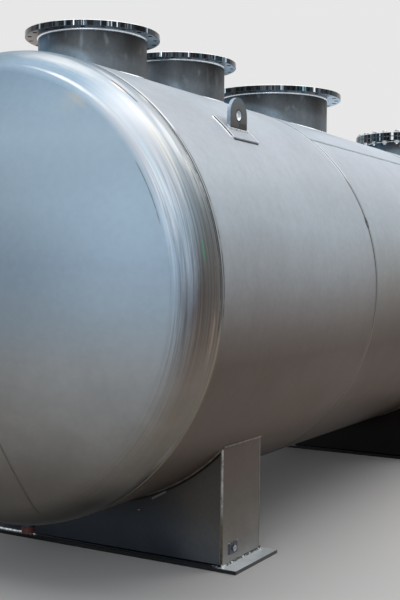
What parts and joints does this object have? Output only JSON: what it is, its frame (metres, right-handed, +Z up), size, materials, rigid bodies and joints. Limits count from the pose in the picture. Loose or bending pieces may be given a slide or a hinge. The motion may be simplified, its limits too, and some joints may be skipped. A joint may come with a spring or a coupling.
{
  "type": "horizontal pressure tank",
  "caption": "Horizontal stainless steel pressure tank with dished heads, flanged nozzles along the top, lifting lugs and welded box saddles.",
  "frame": {"origin": "on the floor under the middle of the tank", "axes": "+X along the tank towards the rear head, +Y towards the far side, +Z up"},
  "size_m": [10.0126, 2.4048, 2.947],
  "materials": {
    "shell_plate": "matte pickled stainless plate",
    "head_plate": "matte pickled crown, knuckle brushed round the rim",
    "pipe_steel": "dull mill finish with handling marks",
    "flange_steel": "turned bright",
    "saddle_plate": "dull mill finish",
    "lug_steel": "dull mill finish",
    "weld": "brushed weld bead",
    "bolt_steel": "plated bolts and nuts",
    "gasket": "dark fibre gasket",
    "cap_plastic": "dull red protective cap"
  },
  "bodies": {
    "root": {"front_head": "head_plate", "rear_head": "head_plate", "head_joint_beads": "weld", "shell_course_1": "shell_plate", "shell_course_2": "shell_plate", "shell_course_3": "shell_plate", "shell_course_4": "shell_plate", "girth_beads": "weld", "long_beads": "weld", "nozzle_1": "pipe_steel", "nozzle_2": "pipe_steel", "nozzle_3": "pipe_steel", "nozzle_4": "pipe_steel", "nozzle_5": "pipe_steel", "nozzle_6": "pipe_steel", "nozzle_foot_beads": "weld", "flange_1": "flange_steel", "flange_2": "flange_steel", "flange_3": "flange_steel", "flange_4": "flange_steel", "flange_5": "flange_steel", "flange_6": "flange_steel", "cover_gasket": "gasket", "blind_cover": "flange_steel", "saddle_1_front_web": "saddle_plate", "saddle_1_rear_web": "saddle_plate", "saddle_1_end_plates": "saddle_plate", "saddle_1_base_plate": "saddle_plate", "saddle_2_front_web": "saddle_plate", "saddle_2_rear_web": "saddle_plate", "saddle_2_end_plates": "saddle_plate", "saddle_2_base_plate": "saddle_plate", "saddle_3_front_web": "saddle_plate", "saddle_3_rear_web": "saddle_plate", "saddle_3_end_plates": "saddle_plate", "saddle_3_base_plate": "saddle_plate", "lug_pads": "shell_plate", "lug_front_near": "lug_steel", "lug_front_far": "lug_steel", "lug_rear_near": "lug_steel", "lug_rear_far": "lug_steel", "drain_pipe": "pipe_steel", "drain_cap": "cap_plastic", "earthing_plate": "weld"}
  },
  "joints": []
}
